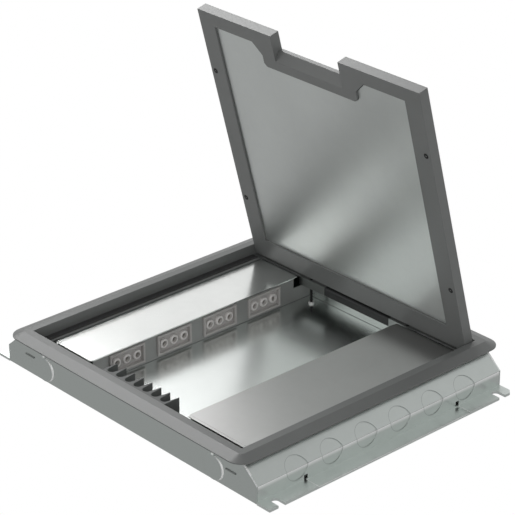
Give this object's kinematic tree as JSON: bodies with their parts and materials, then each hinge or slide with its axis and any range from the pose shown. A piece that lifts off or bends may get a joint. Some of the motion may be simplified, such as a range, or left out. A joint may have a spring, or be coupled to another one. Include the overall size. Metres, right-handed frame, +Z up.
{
  "type": "floor socket box",
  "caption": "Square floor box of folded steel with a bevelled trim frame, a hinged lid, a cable comb, covered wiring compartments and rows of three-pole sockets.",
  "frame": {"origin": "on the floor under the middle of the trim frame", "axes": "+X to the right seen from the cable comb, +Y from the comb to the lid hinge, +Z up"},
  "size_m": [0.398, 0.343, 0.3259],
  "materials": {
    "galvanised_steel": "hot-dip galvanised sheet, dull",
    "bright_steel": "bright zinc-plated sheet, semi-gloss",
    "grey_polymer": "fine-grained moulded polymer",
    "dark_polymer": "moulded polymer, dull",
    "socket_polymer": "moulded polymer, satin",
    "foam_rubber": "closed-cell foam strip",
    "zinc_plated_screw": "clear zinc plated steel",
    "pale_polymer": "moulded polymer, satin",
    "contact_brass": "turned brass"
  },
  "bodies": {
    "base": {"base_pan": "galvanised_steel", "side_panel_left": "galvanised_steel", "side_panel_right": "galvanised_steel", "socket_plate_left": "galvanised_steel", "socket_plate_right": "galvanised_steel", "cover_rail_left": "galvanised_steel", "cover_rail_right": "galvanised_steel", "cover_plate_left": "bright_steel", "cover_plate_right": "bright_steel", "busbars_left": "contact_brass", "busbars_right": "contact_brass", "levelling_screws": "zinc_plated_screw", "levelling_feet": "pale_polymer", "socket_units_left": "socket_polymer", "socket_units_right": "socket_polymer"},
    "frame": {"trim_frame": "grey_polymer", "lid_gasket": "foam_rubber", "cable_comb": "dark_polymer", "levelling_brackets": "galvanised_steel"},
    "lid": {"lid_frame": "grey_polymer", "lid_plate": "bright_steel", "lid_tray": "galvanised_steel", "hinge_pins": "zinc_plated_screw"}
  },
  "joints": [
    {"name": "frame_lift", "type": "slide", "parent": "base", "child": "frame", "axis": [0, 0, 1], "range_m": [0, 0.008]},
    {"name": "lid_hinge", "type": "hinge", "parent": "frame", "child": "lid", "pos_m": [0, 0.1463, 0.03725], "axis": [-1, 0, 0], "range_deg": [-75, 27]}
  ]
}
